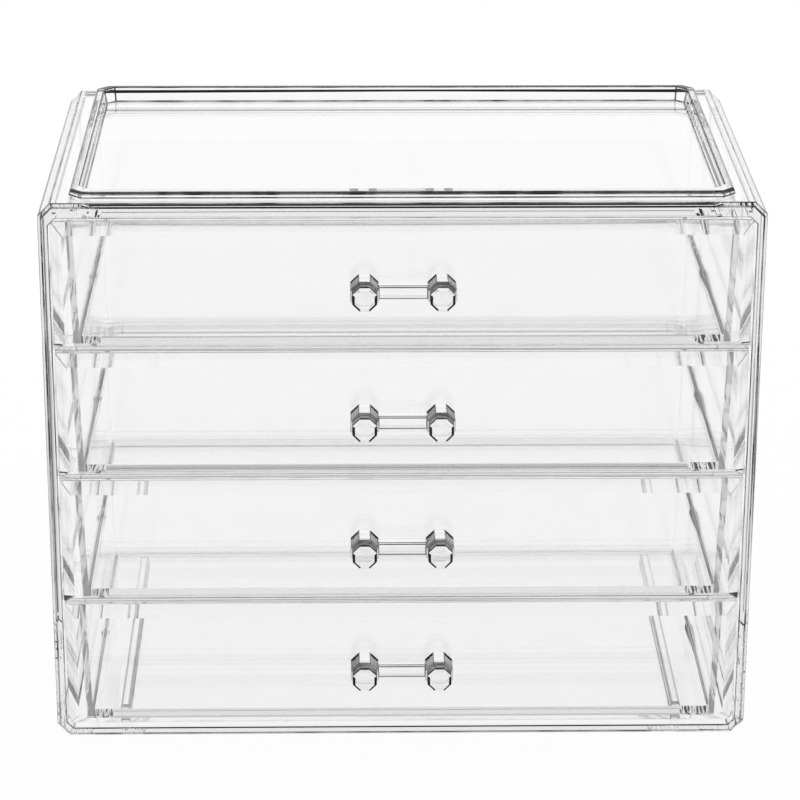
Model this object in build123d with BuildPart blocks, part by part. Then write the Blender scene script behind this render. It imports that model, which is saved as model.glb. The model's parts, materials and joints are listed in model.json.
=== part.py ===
from build123d import *
import os
from math import radians, tan

# Clear desktop organizer: a case with cut corners and four full-width drawers.
# Origin at the centre of the base, +Z up, drawers open towards -Y. Millimetres.

# ---- Case -------------------------------------------------------------------
case_width = 240.0
case_depth = 139.5
case_height = 194.6
case_corner_cut = 4.2
side_wall = 3.5
floor_wall = 3.4
top_border = 5.0
opening_corner_cut = 2.3
front_edge_bevel = 1.2
back_edge_bevel = 0.5
back_wall = 3.2
glue_gap = 0.15

# ---- Stacking rim on the top, and the shallow tray inside it -----------------
rim_height = 2.0
rim_side_inset = 10.0
rim_front_inset = 6.7
rim_back_inset = 0.6
rim_side_wall = 3.0
rim_front_wall = 4.3
rim_back_wall = 2.8
rim_corner_cut = 4.0
rim_edge_bevel = 0.7
rim_inner_draft = 11.0
top_plate = 1.9

# ---- Shelves and floor runners -------------------------------------------------
shelf_thickness = 2.3
shelf_front_gap = 0.35
runner_spacing = 193.3
runner_width = 3.3
runner_front_inset = 8.7
runner_back_inset = 10.0

# ---- Drawers ---------------------------------------------------------------------
drawer_names = ["bottom_drawer", "third_drawer", "second_drawer", "top_drawer"]
shelf_names = ["lower_shelf", "middle_shelf", "upper_shelf"]
running_gap = 0.25

front_thickness = 3.2
front_edge_land = 0.7
front_bevel_top = 4.4
front_bevel_bottom = 3.8
front_bevel_side = 3.85
front_setback = 0.2
front_side_gap = 0.35
front_floor_gap = 0.7
front_head_gap = 1.5
front_to_front_gap = 0.4

tray_lift = 2.7
tray_floor = 2.8
tray_wall = 2.2
tray_side_gap = 5.4
tray_back_gap = 2.3
tray_head_gap = 0.8
tray_draft = 2.0
tray_corner_radius = 3.0
tray_floor_radius = 1.2

# ---- Handles -----------------------------------------------------------------------
post_spacing = 25.6
post_base_flats = 9.5
post_base_length = 8.4
post_neck_length = 0.5
post_head_flats = 8.3
post_head_length = 3.4
post_crown = 1.05
post_sides = 8
bar_height = 4.8
bar_depth = 3.9
bar_standoff = 1.8
bar_edge_bevel = 0.5
handle_rise = 0.4

# ---- Places worked out from the sizes above -------------------------------------------
case_front = -case_depth / 2
case_back = case_depth / 2
opening_width = case_width - 2 * side_wall
opening_top = case_height - top_border
opening_middle = (floor_wall + opening_top) / 2
opening_height = opening_top - floor_wall
back_panel_front = case_back - back_wall

rim_top = case_height + rim_height
top_tray_floor = opening_top + top_plate

lowest_front = floor_wall + front_floor_gap
highest_front = opening_top - front_head_gap
drawer_pitch = (highest_front - lowest_front + front_to_front_gap) / len(drawer_names)
front_height = drawer_pitch - front_to_front_gap
front_width = opening_width - 2 * front_side_gap
front_face = case_front + front_setback
front_back_face = front_face + front_thickness

tray_front = front_back_face + glue_gap
tray_back = back_panel_front - tray_back_gap
tray_width = opening_width - 2 * tray_side_gap
tray_height = front_height - tray_lift - tray_head_gap

shelf_front = front_back_face + shelf_front_gap
shelf_back = back_panel_front - glue_gap
shelf_drop = running_gap + shelf_thickness
runner_top = lowest_front + tray_lift - running_gap


def cut_corner_rectangle(width, height, cut):
    """Adds a rectangle with its four corners cut to the sketch being drawn."""
    Rectangle(width, height)
    chamfer(vertices(), cut)


def front_plane(y):
    """Upright plane at a given y, seen from the front: its own axes are +X and +Z."""
    return Plane.XZ.offset(-y)


def rectangle_between(x_low, x_high, y_low, y_high):
    """Adds a rectangle to the sketch being drawn, given by its edges."""
    with Locations(((x_low + x_high) / 2, (y_low + y_high) / 2)):
        Rectangle(x_high - x_low, y_high - y_low)


# ---- Case shell: sleeve, floor runners, top tray and stacking rim ------------------------
with BuildPart() as case_shell:
    with BuildSketch(front_plane(case_back)) as case_outline:
        with Locations((0, case_height / 2)):
            cut_corner_rectangle(case_width, case_height, case_corner_cut)
    extrude(amount=case_depth)
    outer_front = faces().sort_by(Axis.Y)[0].outer_wire().edges()
    outer_back = faces().sort_by(Axis.Y)[-1].outer_wire().edges()
    chamfer(outer_front, front_edge_bevel)
    chamfer(outer_back, back_edge_bevel)

    with BuildSketch(front_plane(case_back)) as opening_outline:
        with Locations((0, opening_middle)):
            cut_corner_rectangle(opening_width, opening_height, opening_corner_cut)
    extrude(amount=case_depth, mode=Mode.SUBTRACT)

    with BuildSketch(Plane.XY.offset(case_height)) as rim_outline:
        rectangle_between(
            -case_width / 2 + rim_side_inset,
            case_width / 2 - rim_side_inset,
            case_front + rim_front_inset,
            case_back - rim_back_inset,
        )
        chamfer(vertices(), rim_corner_cut)
    extrude(amount=rim_height)
    chamfer(faces().sort_by(Axis.Z)[-1].outer_wire().edges(), rim_edge_bevel)

    draft_run = (rim_top - top_tray_floor) * tan(radians(rim_inner_draft))
    tray_half_width = case_width / 2 - rim_side_inset - rim_side_wall - draft_run
    with BuildSketch(Plane.XY.offset(top_tray_floor)) as top_tray_outline:
        rectangle_between(
            -tray_half_width,
            tray_half_width,
            case_front + rim_front_inset + rim_front_wall + draft_run,
            case_back - rim_back_inset - rim_back_wall - draft_run,
        )
        chamfer(vertices(), rim_corner_cut - draft_run)
    extrude(amount=rim_top - top_tray_floor, taper=-rim_inner_draft, mode=Mode.SUBTRACT)

    with BuildSketch(Plane.XY.offset(floor_wall)) as runner_outline:
        with GridLocations(runner_spacing, 0, 2, 1):
            rectangle_between(
                -runner_width / 2,
                runner_width / 2,
                case_front + runner_front_inset,
                case_back - runner_back_inset,
            )
    extrude(amount=runner_top - floor_wall)

# ---- Back panel, bonded inside the sleeve's back opening ----------------------------------
with BuildPart() as back_panel:
    with BuildSketch(front_plane(case_back)) as back_outline:
        with Locations((0, opening_middle)):
            cut_corner_rectangle(
                opening_width - 2 * glue_gap,
                opening_height - 2 * glue_gap,
                opening_corner_cut,
            )
    extrude(amount=back_wall)


def make_shelf(top):
    """Flat shelf between the side walls, with its upper face at the given height."""
    with BuildPart() as shelf:
        with BuildSketch(Plane.XY.offset(top - shelf_thickness)):
            rectangle_between(
                -opening_width / 2 + glue_gap,
                opening_width / 2 - glue_gap,
                shelf_front,
                shelf_back,
            )
        extrude(amount=shelf_thickness)
    return shelf


def make_drawer_front(bottom):
    """Thick front plate: a flat window framed by a sloping bevel on all four edges."""
    window_width = front_width - 2 * front_bevel_side
    window_height = front_height - front_bevel_top - front_bevel_bottom
    window_middle = bottom + front_bevel_bottom + window_height / 2
    with BuildPart() as front:
        with BuildSketch(front_plane(front_back_face)):
            with Locations((0, bottom + front_height / 2)):
                Rectangle(front_width, front_height)
        extrude(amount=front_edge_land)
        with BuildSketch(front_plane(front_back_face - front_edge_land)):
            with Locations((0, bottom + front_height / 2)):
                Rectangle(front_width, front_height)
        with BuildSketch(front_plane(front_face)):
            with Locations((0, window_middle)):
                Rectangle(window_width, window_height)
        loft()
        # Corners beside the case's own cut corners follow them.
        with BuildSketch(front_plane(front_back_face)):
            with Locations((0, opening_middle)):
                cut_corner_rectangle(
                    front_width,
                    opening_height - 2 * front_side_gap,
                    opening_corner_cut,
                )
        extrude(amount=front_thickness, mode=Mode.INTERSECT)
    return front


def make_drawer_tray(bottom):
    """Open-topped tray with drafted walls. The drawer front closes its front end."""
    underside = bottom + tray_lift
    top = underside + tray_height
    draft_run = tray_height * tan(radians(tray_draft))
    cavity_height = tray_height - tray_floor
    cavity_draft_run = cavity_height * tan(radians(tray_draft))
    with BuildPart() as tray:
        with BuildSketch(Plane.XY.offset(underside)):
            rectangle_between(
                -tray_width / 2 + draft_run,
                tray_width / 2 - draft_run,
                case_front,
                tray_back - draft_run,
            )
            fillet(vertices().group_by(Axis.Y)[-1], tray_corner_radius)
        extrude(amount=tray_height, taper=-tray_draft)
        with BuildSketch(Plane.XY.offset(top - cavity_height)):
            rectangle_between(
                -tray_width / 2 + tray_wall + cavity_draft_run,
                tray_width / 2 - tray_wall - cavity_draft_run,
                case_front - tray_wall,
                tray_back - tray_wall - cavity_draft_run,
            )
            fillet(vertices().group_by(Axis.Y)[-1], tray_corner_radius - tray_wall)
        extrude(amount=cavity_height, taper=-tray_draft, mode=Mode.SUBTRACT)
        split(bisect_by=front_plane(tray_front), keep=Keep.BOTTOM)
        cavity_floor = faces().filter_by(Axis.Z).sort_by(Axis.Z)[1]
        fillet(cavity_floor.edges().sort_by(Axis.Y)[1:], tray_floor_radius)
    return tray


def post_section(apothem):
    """Adds an octagon with flats at its top, bottom and sides to the sketch."""
    RegularPolygon(apothem, post_sides, major_radius=False, rotation=180 / post_sides)


def make_handle(middle):
    """Pull moulded in one piece: two faceted posts joined by a bar near the front."""
    root = front_face - glue_gap
    neck_root = root - post_base_length
    head_root = neck_root - post_neck_length
    crown_root = head_root - post_head_length
    head_apothem = post_head_flats / 2
    posts = [(-post_spacing / 2, middle), (post_spacing / 2, middle)]
    sections = [
        (neck_root, post_base_flats / 2),
        (head_root, head_apothem),
        (crown_root, head_apothem),
        (crown_root - post_crown, head_apothem - post_crown),
    ]
    with BuildPart() as handle:
        with BuildSketch(front_plane(root)):
            with Locations(*posts):
                post_section(post_base_flats / 2)
        extrude(amount=post_base_length)
        for post in posts:
            for near, far in zip(sections, sections[1:]):
                for y, apothem in (near, far):
                    with BuildSketch(front_plane(y)):
                        with Locations(post):
                            post_section(apothem)
                loft()
        with BuildSketch(Plane.YZ.offset(-post_spacing / 2)):
            with Locations((root - bar_standoff - bar_depth / 2, middle)):
                cut_corner_rectangle(bar_depth, bar_height, bar_edge_bevel)
        extrude(amount=post_spacing)
    return handle


def front_bottom(index):
    """Height of the lower edge of a drawer's front, counted from the lowest drawer."""
    return lowest_front + index * drawer_pitch


# ---- All pieces by name -----------------------------------------------------------------
pieces = {"case_shell": case_shell, "back_panel": back_panel}

for index, name in enumerate(shelf_names, start=1):
    pieces[name] = make_shelf(front_bottom(index) + tray_lift - running_gap)

for index, name in enumerate(drawer_names):
    bottom = front_bottom(index)
    pieces[name + "_front"] = make_drawer_front(bottom)
    pieces[name + "_tray"] = make_drawer_tray(bottom)
    pieces[name + "_handle"] = make_handle(bottom + front_height / 2 + handle_rise)

os.makedirs("parts", exist_ok=True)
for name, piece in pieces.items():
    piece.part.label = name
    export_step(piece.part, f"parts/{name}.step")
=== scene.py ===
import json
from math import cos, radians, sin

import bmesh
import bpy
from mathutils import Matrix, Vector


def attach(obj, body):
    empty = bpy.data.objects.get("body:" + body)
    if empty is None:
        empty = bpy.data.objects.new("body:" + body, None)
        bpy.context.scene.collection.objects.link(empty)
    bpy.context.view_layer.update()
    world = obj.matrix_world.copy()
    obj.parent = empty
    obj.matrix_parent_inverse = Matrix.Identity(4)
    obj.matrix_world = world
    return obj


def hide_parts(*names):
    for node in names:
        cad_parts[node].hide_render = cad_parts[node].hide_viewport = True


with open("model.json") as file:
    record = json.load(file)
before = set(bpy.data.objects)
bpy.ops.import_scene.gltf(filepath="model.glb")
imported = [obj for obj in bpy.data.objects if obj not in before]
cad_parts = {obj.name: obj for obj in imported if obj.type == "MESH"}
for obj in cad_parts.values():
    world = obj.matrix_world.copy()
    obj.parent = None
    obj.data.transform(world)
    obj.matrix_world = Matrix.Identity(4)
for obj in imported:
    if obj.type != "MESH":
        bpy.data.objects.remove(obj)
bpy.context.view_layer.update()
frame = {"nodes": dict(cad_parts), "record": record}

MM = 0.001

# ---- Camera, as fitted to the case's corners in the photograph -------------------
CAMERA_PLACE = Vector((-20.7, -1036.6, 500.7)) * MM
CAMERA_YAW = 0.0205
CAMERA_PITCH = 0.3699
CAMERA_ROLL = 0.0039
CAMERA_LENS = 139.2
SENSOR_WIDTH = 36.0

# ---- Rounding of the moulded edges --------------------------------------------------
CASE_ROUND = 0.35 * MM
TRAY_ROUND = 0.25 * MM
FRONT_ROUND = 0.25 * MM
HANDLE_ROUND = 0.2 * MM
RUNNER_ROUND = 0.9 * MM
ROUND_SEGMENTS = 3
SHARP_ANGLE = radians(34)
FLAT_ANGLE = radians(0.4)
MERGE_DISTANCE = 0.002 * MM

# ---- Places on the case ---------------------------------------------------------------
RUNNER_TOP = 6.55 * MM
RUNNER_END = 65.0 * MM
RIM_EDGE = 195.7 * MM

# ---- Places along a pull, from its root on the front to its crown ------------------
HANDLE_ROOT = -69.7 * MM
# The two bands below mark painted shade: dark bands at a post's root and at the foot of its crown.
ROOT_SHADE_BAND = 3.2 * MM
CROWN_SHADE_BAND = 1.4 * MM
NECK_ROOT = -78.1 * MM
CROWN_ROOT = -82.0 * MM
CROWN_FACE = CROWN_ROOT - 0.7 * MM
BAR_END = 7.5 * MM

# ---- Distance from a tray's middle past which its wall ends take a matt white coat of painted light ---
WALL_END = 107.5 * MM
WALL_END_FADE = 1.0 * MM

# ---- Places of the looks in a piece's list of materials ----------------------------
PLAIN = 0
# The edge look and the looks after it are darker tints of painted shade, but the tray joint look is
# a matt white coat of painted light.
EDGES = 1
RIM_SHADE = 2
RUNNER_SHADE = 3
TRAY_JOINT_LIGHT = 2
HANDLE_FACET_SHADE = 2
HANDLE_FLANK_SHADE = 3

# ---- Parts of a face's unit normal that pick it out ---------------------------------
LEANS = 0.3
SLOPES = 0.5
FACES_ALONG = 0.9
SQUARE_ON = 0.95

# ---- Acrylic ------------------------------------------------------------------------
ACRYLIC_IOR = 1.49
ACRYLIC_DENSITY = 2.6
ACRYLIC_DEPTH_GREY = 0.5
SHADOW_GREY = 0.97
FACE_WAVES = 0.02 * MM
WAVE_SCALE = 14.0
WAVE_DETAIL = 1.0
POLISH_MARKS = 0.02
POLISH_CONTRAST = 3.0
POLISH_SCALE = 38.0
MOTTLE_SCALE = 90.0
MOTTLE_START = 0.38
MOTTLE_END = 0.62
FINE_DETAIL = 4.0
# Matt coats that paint shade (black) and light (white) over the plastic, and how much of a surface
# each covers.
PAINTED_SHADE_BLACK = 0.01
PAINTED_LIGHT_WHITE = 1.0
SEAM_SHADE_COVER = 0.97
FLANK_SHADE_COVER = 0.9
WALL_END_LIGHT_COVER = 0.45

# ---- Stage --------------------------------------------------------------------------
FLOOR_RADIUS = 0.38
FLOOR_DROP = 0.4 * MM
FLOOR_SEGMENTS = 96
FLOOR_GREY = 0.95
FLOOR_GLOW = 0.85
FLOOR_GLOW_SEEN = 0.1
DARK = 0.4
DARK_FIELD_DEPTH = (-0.86, -0.80)
DARK_FIELD_FOOT = (-0.08, 0.0)
DARK_RING_FOOT = (0.82, 0.86)
DARK_RING_TOP = (0.92, 0.96)
CLEAR_BOUNCES = 32
MIRROR_BOUNCES = 16


class Wire:
    """An output of a shader tree. Arithmetic on it adds Math nodes."""

    def __init__(self, tree, socket):
        self.tree = tree
        self.socket = socket

    def maths(self, operation, first, second):
        return self.tree.add("ShaderNodeMath", {"operation": operation}, {0: first, 1: second})

    def __add__(self, other):
        return self.maths("ADD", self, other)

    def __radd__(self, other):
        return self.maths("ADD", other, self)

    def __sub__(self, other):
        return self.maths("SUBTRACT", self, other)

    def __rsub__(self, other):
        return self.maths("SUBTRACT", other, self)

    def __mul__(self, other):
        return self.maths("MULTIPLY", self, other)

    def __rmul__(self, other):
        return self.maths("MULTIPLY", other, self)

    def __pow__(self, other):
        return self.maths("POWER", self, other)

    def __rpow__(self, other):
        return self.maths("POWER", other, self)


class Tree:
    """Builds one shader tree from nothing."""

    def __init__(self, owner):
        owner.use_nodes = True
        self.nodes = owner.node_tree.nodes
        self.links = owner.node_tree.links
        self.nodes.clear()

    def add(self, kind, settings=None, inputs=None, output=0):
        """Adds a node, sets it up, fills its inputs and returns one of its outputs."""
        node = self.nodes.new(kind)
        for name, value in (settings or {}).items():
            setattr(node, name, value)
        for name, value in (inputs or {}).items():
            if isinstance(value, Wire):
                self.links.new(value.socket, node.inputs[name])
            else:
                node.inputs[name].default_value = value
        return Wire(self, node.outputs[output]) if node.outputs else None

    def noise(self, place, scale, detail):
        return self.add(
            "ShaderNodeTexNoise", inputs={"Vector": place, "Scale": scale, "Detail": detail}
        )

    def blend(self, share, first, second):
        """Colour that goes from first to second as share goes from 0 to 1."""
        return self.add(
            "ShaderNodeMix", {"data_type": "RGBA"}, {0: share, 6: first, 7: second}, output=2
        )


def grey(level):
    return (level, level, level, 1.0)


def step_up(tree, value, start, end):
    """0 below start, 1 above end, smooth between."""
    return tree.add(
        "ShaderNodeMapRange",
        {"interpolation_type": "SMOOTHSTEP"},
        {"Value": value, "From Min": start, "From Max": end},
    )


def larger(tree, first, second):
    return tree.add("ShaderNodeMath", {"operation": "MAXIMUM"}, {0: first, 1: second})


def clear_acrylic(name, light, dark, waves=0.0, painted_cover=None, painted_grey=PAINTED_SHADE_BLACK):
    """Water-clear moulded acrylic with polish marks and a slight swell of the faces.

    light and dark bound the mottled tint that light takes up on its way in; the darker tints are
    painted shade.
    The cover, where given, works out the share of the surface that a matt coat of the given grey
    hides:
    black is painted shade on the pulls, white is painted light at the tray joints.
    """
    material = bpy.data.materials.new(name)
    tree = Tree(material)
    place = tree.add("ShaderNodeTexCoord", output="Object")
    haze = tree.noise(place, POLISH_SCALE, FINE_DETAIL)
    swell = tree.noise(place, WAVE_SCALE, WAVE_DETAIL)
    mottle = tree.noise(place, MOTTLE_SCALE, FINE_DETAIL)
    inside = tree.add("ShaderNodeNewGeometry", output="Backfacing")
    mottled = tree.blend(
        step_up(tree, mottle, MOTTLE_START, MOTTLE_END), grey(dark), grey(light)
    )
    normal = tree.add(
        "ShaderNodeBump",
        inputs={"Height": swell, "Strength": 1.0, "Distance": waves},
    )
    surface = tree.add(
        "ShaderNodeBsdfPrincipled",
        inputs={
            "Base Color": tree.blend(inside, mottled, grey(1.0)),
            "Roughness": haze ** POLISH_CONTRAST * POLISH_MARKS,
            "IOR": ACRYLIC_IOR,
            "Transmission Weight": 1.0,
            "Normal": normal,
        },
    )
    if painted_cover:
        painted_coat = tree.add("ShaderNodeBsdfDiffuse", inputs={"Color": grey(painted_grey)})
        surface = tree.add(
            "ShaderNodeMixShader", inputs={0: painted_cover(tree, place), 1: surface, 2: painted_coat}
        )
    see_through = tree.add("ShaderNodeBsdfTransparent", inputs={"Color": grey(SHADOW_GREY)})
    shadow_ray = tree.add("ShaderNodeLightPath", output="Is Shadow Ray")
    surface = tree.add(
        "ShaderNodeMixShader", inputs={0: shadow_ray, 1: surface, 2: see_through}
    )
    depth = tree.add(
        "ShaderNodeVolumeAbsorption",
        inputs={"Color": grey(ACRYLIC_DEPTH_GREY), "Density": ACRYLIC_DENSITY},
    )
    tree.add("ShaderNodeOutputMaterial", inputs={"Surface": surface, "Volume": depth})
    return material


def pull_seam_shade(tree, place):
    """Painted shade in bands at a post's root and at the foot of its crown."""
    along = tree.add("ShaderNodeSeparateXYZ", inputs={"Vector": place}, output="Y")
    shade_at_root = step_up(tree, along, HANDLE_ROOT - ROOT_SHADE_BAND, HANDLE_ROOT - ROOT_SHADE_BAND / 2)
    past_crown_foot = step_up(
        tree, along, CROWN_ROOT + CROWN_SHADE_BAND / 2, CROWN_ROOT + CROWN_SHADE_BAND
    )
    return (shade_at_root + (1.0 - past_crown_foot)) * SEAM_SHADE_COVER


def pull_flank_shade(tree, place):
    """Painted shade over the flanks of a crown, the same all over."""
    return FLANK_SHADE_COVER


def tray_wall_end_light(tree, place):
    """Painted light: the share of a matt white coat over the cemented ends of a tray's two side
    walls, but not of its floor.
    """
    across = tree.add("ShaderNodeSeparateXYZ", inputs={"Vector": place}, output="X")
    from_middle = tree.add("ShaderNodeMath", {"operation": "ABSOLUTE"}, {0: across})
    return step_up(tree, from_middle, WALL_END - WALL_END_FADE, WALL_END) * WALL_END_LIGHT_COVER


def round_off(shape, edges, radius, material):
    """Rounds edges and returns the new faces."""
    return bmesh.ops.bevel(
        shape,
        geom=edges,
        offset=radius,
        offset_type="OFFSET",
        segments=ROUND_SEGMENTS,
        profile=0.5,
        affect="EDGES",
        material=material,
        clamp_overlap=False,
    )["faces"]


def round_runners(shape):
    """The two floor runners have a fuller rounding along their top edges than the rest, which takes
    a grey tint of painted shade.
    """
    top_edges = [
        e for e in shape.edges
        if all(abs(v.co.z - RUNNER_TOP) < MERGE_DISTANCE for v in e.verts)
        and all(abs(v.co.y) < RUNNER_END for v in e.verts)
    ]
    round_off(shape, top_edges, RUNNER_ROUND, RUNNER_SHADE)


def paint_rim_shade(shape):
    """Gives the sloping edge along the top of the stacking rim a near-black tint of painted shade.
    """
    for face in shape.faces:
        sloping = SLOPES < abs(face.normal.z) < FACES_ALONG
        if face.calc_center_median().z > RIM_EDGE and sloping:
            face.material_index = RIM_SHADE


def paint_joint_light(shape, joint):
    """The front ends of a tray's walls and floor, where they meet the drawer's front, take the look
    that paints light on the side walls' ends.
    """
    for face in shape.faces:
        at_joint = face.calc_center_median().y < joint + MERGE_DISTANCE
        if face.normal.y < -FACES_ALONG and at_joint:
            face.material_index = TRAY_JOINT_LIGHT


def paint_handle_shade(shape):
    """The facets of the posts that the photograph shows dark, which get painted shade, and the
    plain faces of the crowns.
    """
    for face in shape.faces:
        place = face.calc_center_median()
        across, along, up = face.normal
        sloping = abs(across) > LEANS
        on_crown = place.y < CROWN_ROOT and abs(along) < SQUARE_ON
        if place.y < CROWN_FACE:
            face.material_index = PLAIN
        elif face.material_index == EDGES:
            continue
        elif on_crown and sloping and up < LEANS:
            face.material_index = HANDLE_FLANK_SHADE
        elif abs(along) < FACES_ALONG and up > LEANS and not on_crown:
            if abs(place.x) > BAR_END and (sloping or place.y < NECK_ROOT):
                face.material_index = HANDLE_FACET_SHADE


def add_piece(node, body, slot, radius, materials):
    """A CAD piece with small roundings on its sharp edges, but not at a tray's cemented end; the
    roundings take darker tints of painted shade.
    """
    mesh = frame["nodes"][node].data.copy()
    mesh.materials.clear()
    for material in materials:
        mesh.materials.append(material)
    shape = bmesh.new()
    shape.from_mesh(mesh)
    bmesh.ops.remove_doubles(shape, verts=shape.verts, dist=MERGE_DISTANCE)
    bmesh.ops.dissolve_limit(
        shape, angle_limit=FLAT_ANGLE, verts=shape.verts, edges=shape.edges
    )
    if node == "case_shell":
        round_runners(shape)
    joint = min(v.co.y for v in shape.verts)
    sharp = [
        e for e in shape.edges
        if e.is_manifold and e.calc_face_angle() > SHARP_ANGLE
    ]
    if node.endswith("_tray"):
        sharp = [e for e in sharp if min(v.co.y for v in e.verts) > joint + MERGE_DISTANCE]
    # The rounded edges take the darker edge look, which is painted shade.
    for face in round_off(shape, sharp, radius, -1):
        face.material_index = EDGES
    if node == "case_shell":
        paint_rim_shade(shape)
    elif node.endswith("_tray"):
        paint_joint_light(shape, joint)
    elif node.endswith("_handle"):
        paint_handle_shade(shape)
    shape.to_mesh(mesh)
    shape.free()
    for polygon in mesh.polygons:
        polygon.use_smooth = False
    piece = bpy.data.objects.new(node + "_moulded", mesh)
    bpy.context.scene.collection.objects.link(piece)
    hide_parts(node)
    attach(piece, body)


def add_camera():
    forward = Vector((
        sin(CAMERA_YAW) * cos(CAMERA_PITCH),
        cos(CAMERA_YAW) * cos(CAMERA_PITCH),
        -sin(CAMERA_PITCH),
    ))
    level = Vector((cos(CAMERA_YAW), -sin(CAMERA_YAW), 0))
    upward = level.cross(forward)
    right = level * cos(CAMERA_ROLL) + upward * sin(CAMERA_ROLL)
    up = upward * cos(CAMERA_ROLL) - level * sin(CAMERA_ROLL)
    data = bpy.data.cameras.new("camera")
    data.lens = CAMERA_LENS
    data.sensor_width = SENSOR_WIDTH
    camera = bpy.data.objects.new("camera", data)
    turn = Matrix((right, up, -forward)).transposed()
    camera.matrix_world = Matrix.Translation(CAMERA_PLACE) @ turn.to_4x4()
    bpy.context.scene.collection.objects.link(camera)
    bpy.context.scene.camera = camera


def white_ray(tree):
    """1 for a ray that shows the background: seen directly, mirrored or through the plastic."""
    camera = tree.add("ShaderNodeLightPath", output="Is Camera Ray")
    glossy = tree.add("ShaderNodeLightPath", output="Is Glossy Ray")
    through = tree.add("ShaderNodeLightPath", output="Is Transmission Ray")
    return larger(tree, camera, larger(tree, glossy, through))


def add_floor():
    """A pale disc that glows for rays that show the background, and takes shadow for the rest."""
    mesh = bpy.data.meshes.new("floor")
    shape = bmesh.new()
    bmesh.ops.create_circle(
        shape, cap_ends=True, segments=FLOOR_SEGMENTS, radius=FLOOR_RADIUS
    )
    bmesh.ops.translate(shape, verts=shape.verts, vec=(0, 0, -FLOOR_DROP))
    shape.to_mesh(mesh)
    shape.free()
    floor = bpy.data.objects.new("floor", mesh)
    bpy.context.scene.collection.objects.link(floor)
    material = bpy.data.materials.new("pale_floor")
    tree = Tree(material)
    paint = tree.add("ShaderNodeBsdfDiffuse", inputs={"Color": grey(FLOOR_GREY)})
    glow = tree.add("ShaderNodeEmission", inputs={"Color": grey(1.0), "Strength": 1.0})
    seen = tree.add("ShaderNodeLightPath", output="Is Camera Ray")
    share = white_ray(tree) * FLOOR_GLOW + seen * FLOOR_GLOW_SEEN
    mixed = tree.add("ShaderNodeMixShader", inputs={0: share, 1: paint, 2: glow})
    tree.add("ShaderNodeOutputMaterial", inputs={"Surface": mixed})
    mesh.materials.append(material)


def add_world():
    """White all round, and to mirrored and refracted rays darker behind the camera and high up."""
    world = bpy.data.worlds.new("studio")
    bpy.context.scene.world = world
    tree = Tree(world)
    direction = tree.add("ShaderNodeTexCoord", output="Generated")
    depth = tree.add("ShaderNodeSeparateXYZ", inputs={"Vector": direction}, output="Y")
    height = tree.add("ShaderNodeSeparateXYZ", inputs={"Vector": direction}, output="Z")
    behind_camera = 1.0 - step_up(tree, depth, *DARK_FIELD_DEPTH)
    above_floor = step_up(tree, height, *DARK_FIELD_FOOT)
    under_ring = 1.0 - step_up(tree, height, *DARK_RING_FOOT)
    overhead = step_up(tree, height, *DARK_RING_TOP)
    walls = (1.0 - behind_camera * above_floor) * under_ring
    room = DARK + (1.0 - DARK) * larger(tree, walls, overhead)
    seen = tree.add("ShaderNodeLightPath", output="Is Camera Ray")
    level = tree.add(
        "ShaderNodeMix",
        {"data_type": "FLOAT"},
        {0: white_ray(tree), 2: 1.0, 3: larger(tree, room, seen)},
    )
    sky = tree.add("ShaderNodeBackground", inputs={"Color": grey(1.0), "Strength": level})
    tree.add("ShaderNodeOutputWorld", inputs={"Surface": sky})


# The first look of each piece is the clear plastic; the darker tints on edges, rim, runners, facets
# and flanks are painted shade, and the white coat at the tray joints is painted light.
CASE_LOOK = (
    clear_acrylic("case_acrylic", light=1.0, dark=0.995, waves=FACE_WAVES),
    clear_acrylic("case_edges_painted_shade", light=0.3, dark=0.0005),
    clear_acrylic("rim_painted_shade", light=0.004, dark=0.0),
    clear_acrylic("runner_edges_painted_shade", light=0.45, dark=0.3),
)
SHELF_LOOK = (
    CASE_LOOK[PLAIN],
    clear_acrylic("shelf_edges_painted_shade", light=0.9, dark=0.4),
)
TRAY_LOOK = (
    clear_acrylic("tray_acrylic", light=1.0, dark=0.995, waves=FACE_WAVES),
    clear_acrylic("tray_edges_painted_shade", light=0.98, dark=0.9),
    clear_acrylic(
        "tray_joint_painted_light", light=1.0, dark=0.98, painted_cover=tray_wall_end_light, painted_grey=PAINTED_LIGHT_WHITE
    ),
)
FRONT_LOOK = (
    clear_acrylic("front_acrylic", light=0.95, dark=0.94, waves=FACE_WAVES),
    clear_acrylic("front_edges_painted_shade", light=0.9, dark=0.7),
)
HANDLE_LOOK = (
    clear_acrylic("handle_acrylic", light=1.0, dark=0.98),
    clear_acrylic("handle_edges_painted_shade", light=0.02, dark=0.001),
    clear_acrylic("handle_facets_painted_shade", light=0.16, dark=0.03, painted_cover=pull_seam_shade),
    clear_acrylic("handle_flanks_painted_shade", light=0.004, dark=0.0, painted_cover=pull_flank_shade),
)
LOOKS = {
    "handle": ("clear_handle", HANDLE_ROUND, HANDLE_LOOK),
    "tray": ("clear_drawer", TRAY_ROUND, TRAY_LOOK),
    "front": ("clear_drawer", FRONT_ROUND, FRONT_LOOK),
    "shell": ("clear_case", CASE_ROUND, CASE_LOOK),
    "shelf": ("clear_case", CASE_ROUND, SHELF_LOOK),
    "panel": ("clear_case", CASE_ROUND, SHELF_LOOK),
}

for body, nodes in frame["record"]["behaviour"]["bodies"].items():
    for node in nodes:
        add_piece(node, body, *LOOKS[node.split("_")[-1]])

add_camera()
add_floor()
add_world()

scene = bpy.context.scene
scene.view_settings.view_transform = "Standard"
scene.cycles.max_bounces = CLEAR_BOUNCES
scene.cycles.transmission_bounces = CLEAR_BOUNCES
scene.cycles.glossy_bounces = MIRROR_BOUNCES
scene.cycles.transparent_max_bounces = CLEAR_BOUNCES
